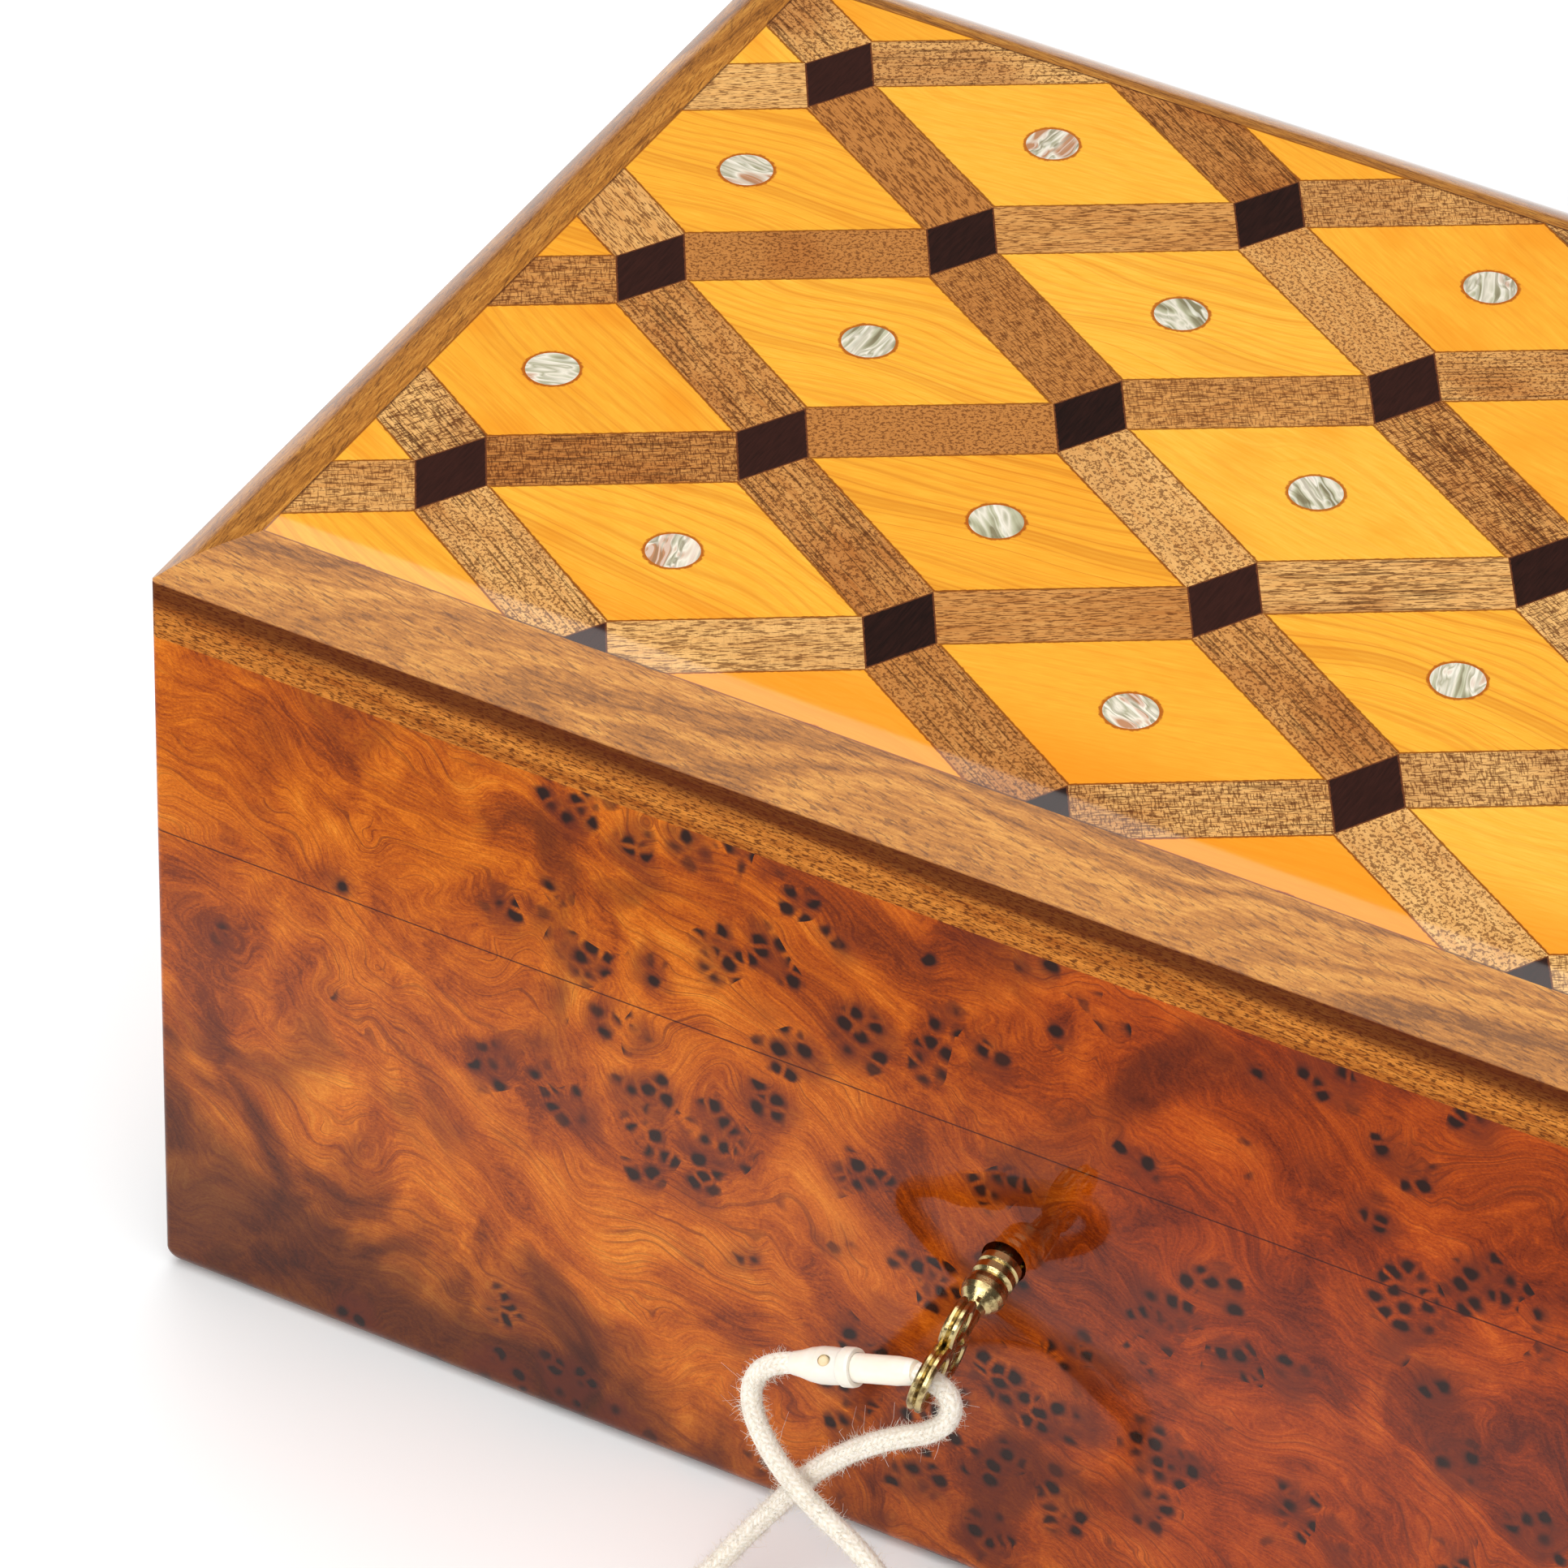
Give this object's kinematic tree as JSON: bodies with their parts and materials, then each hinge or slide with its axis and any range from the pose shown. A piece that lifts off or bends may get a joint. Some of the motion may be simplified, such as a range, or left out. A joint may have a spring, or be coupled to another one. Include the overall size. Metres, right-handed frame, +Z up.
{
  "type": "keepsake box",
  "caption": "Rectangular burl-wood keepsake box with a hinged inlaid lid, inner lock with sliding bolt, and a turned brass key on a cotton cord.",
  "frame": {"origin": "middle of the underside of the case", "axes": "+X to the right along the front, +Y towards the hinged back, +Z up"},
  "size_m": [0.25, 0.2087, 0.1186],
  "materials": {
    "burl": "gloss varnish",
    "walnut": "gloss varnish",
    "base_wood": "satin",
    "lemonwood": "gloss varnish",
    "strip_wood": "gloss varnish",
    "ebony": "gloss varnish",
    "pearl": "iridescent shell",
    "brass": "satin",
    "key_brass": "polished",
    "steel": "brushed",
    "felt": "matte felt",
    "cotton": "matte",
    "ivory_plastic": "satin"
  },
  "bodies": {
    "case": {"front_wall": "burl", "back_wall": "burl", "left_wall": "burl", "right_wall": "burl", "bottom_panel": "base_wood", "floor_felt": "felt", "lock_case": "brass", "lock_cap": "brass", "lock_selvedge": "brass", "lock_screws": "brass", "bolt_spring": "steel", "hinge_left_case_leaf": "brass", "hinge_right_case_leaf": "brass", "hinge_left_pin": "brass", "hinge_right_pin": "brass", "hinge_case_screws": "brass"},
    "lid": {"lid_front_wall": "burl", "lid_back_wall": "burl", "lid_left_wall": "burl", "lid_right_wall": "burl", "lid_core": "base_wood", "lid_border_front": "walnut", "lid_border_back": "walnut", "lid_border_left": "walnut", "lid_border_right": "walnut", "inlay_tiles": "lemonwood", "inlay_strips_rising": "strip_wood", "inlay_strips_falling": "strip_wood", "inlay_blocks": "ebony", "pearl_discs": "pearl", "hinge_left_lid_leaf": "brass", "hinge_right_lid_leaf": "brass", "hinge_lid_screws": "brass", "link_plate": "brass", "link_plate_screws": "brass"},
    "bolt": {"bolt": "steel"},
    "key": {"key": "key_brass", "key_cord": "cotton", "cord_plug": "ivory_plastic", "cord_socket": "ivory_plastic"}
  },
  "joints": [
    {"name": "lid_hinge", "type": "hinge", "parent": "case", "child": "lid", "pos_m": [0, 0.0783, 0.0739], "axis": [-1, 0, 0], "range_deg": [0, 98]},
    {"name": "key_turn", "type": "hinge", "parent": "case", "child": "key", "pos_m": [-0.0022, -0.0815, 0.0548], "axis": [0, -0.9781, -0.2079], "range_deg": [0, 90]},
    {"name": "bolt_throw", "type": "slide", "parent": "case", "child": "bolt", "axis": [1, 0, 0], "range_m": [0, 0.00701]}
  ],
  "couplings": [
    {"joint": "bolt_throw", "follows": "key_turn", "m_per_rad": 0.0044563}
  ]
}
